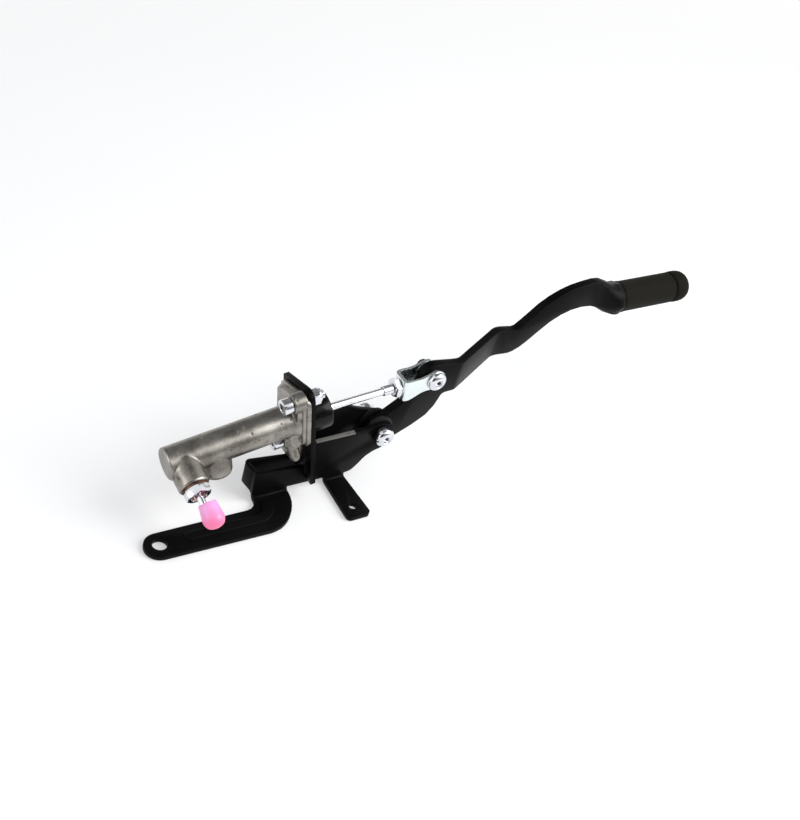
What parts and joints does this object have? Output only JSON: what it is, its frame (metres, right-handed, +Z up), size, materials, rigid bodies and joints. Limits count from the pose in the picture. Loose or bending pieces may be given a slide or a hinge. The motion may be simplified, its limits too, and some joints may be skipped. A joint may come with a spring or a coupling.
{
  "type": "hydraulic parking brake lever",
  "caption": "Hydraulic parking brake lever: floor bracket with two feet, cast master cylinder, pushrod with clevis, side-stepped lever and rubber grip.",
  "frame": {"origin": "on the underside of the rear foot, between its fold and its screw hole", "axes": "+X towards the grip, along the bracket; +Z up from the feet; the cylinder outlet and both feet lie on the -Y side of the middle plane"},
  "size_m": [0.581, 0.1029, 0.1381],
  "materials": {
    "powder_coat_black": "satin black powder coat",
    "cast_aluminium": "bead-blasted casting",
    "bright_zinc": "bright zinc plate",
    "polished_steel": "polished",
    "plain_steel": "plain steel",
    "machined_alloy": "machined",
    "copper_washer": "soft copper",
    "bronze_bush": "plain bearing bronze",
    "dark_zinc": "dark plated steel",
    "black_rubber": "smooth moulded rubber",
    "black_nylon": "matt",
    "grip_rubber": "matt grip rubber",
    "pink_cap": "soft moulded plastic"
  },
  "bodies": {
    "bracket": {"near_cheek": "powder_coat_black", "far_cheek": "powder_coat_black", "mounting_plate": "powder_coat_black", "cylinder_body": "cast_aluminium", "flange_screw_upper": "bright_zinc", "flange_screw_lower": "bright_zinc", "flange_nut_upper": "bright_zinc", "flange_nut_lower": "bright_zinc", "outlet_washer": "copper_washer", "outlet_fitting": "bright_zinc", "outlet_pipe": "polished_steel", "return_spring": "plain_steel", "piston_stop": "bright_zinc", "circlip": "plain_steel", "dust_boot": "black_rubber", "pivot_bolt": "bright_zinc", "pivot_washer": "dark_zinc", "pivot_nut": "bright_zinc", "pivot_spacer_near": "black_nylon", "pivot_spacer_far": "black_nylon"},
    "lever": {"lever_arm": "powder_coat_black", "pivot_bush": "bronze_bush", "grip_core": "plain_steel", "grip_sleeve": "grip_rubber", "grip_end": "grip_rubber"},
    "pushrod": {"pushrod": "polished_steel", "rod_adapter": "bright_zinc", "lock_nut": "bright_zinc", "clevis": "bright_zinc", "clevis_pin": "bright_zinc", "clevis_nut": "dark_zinc", "clevis_spacer_near": "bright_zinc", "clevis_spacer_far": "bright_zinc"},
    "piston": {"piston": "machined_alloy", "pressure_seal": "black_rubber", "rear_seal": "black_rubber"},
    "cap": {"outlet_cap": "pink_cap"}
  },
  "joints": [
    {"name": "lever_pivot", "type": "hinge", "parent": "bracket", "child": "lever", "pos_m": [0.0385, 0.03, 0.045], "axis": [0, -1, 0], "range_deg": [0, 22]},
    {"name": "clevis_swing", "type": "hinge", "parent": "lever", "child": "pushrod", "pos_m": [0.0825, 0.03, 0.0915], "axis": [0, 1, 0], "range_deg": [0, 14.6]},
    {"name": "piston_stroke", "type": "slide", "parent": "bracket", "child": "piston", "axis": [-0.9836, 0, -0.1805], "range_m": [0, 0.0175], "stiffness_N_per_m": 1200, "springref_m": -0.008, "deforming": ["return_spring"]},
    {"name": "cap_pull", "type": "slide", "parent": "bracket", "child": "cap", "axis": [0.0903, -0.866, -0.4918], "range_m": [0, 0.014]}
  ],
  "couplings": [
    {"joint": "clevis_swing", "follows": "lever_pivot", "ratio": 0.648},
    {"joint": "piston_stroke", "follows": "lever_pivot", "m_per_rad": 0.0447}
  ]
}
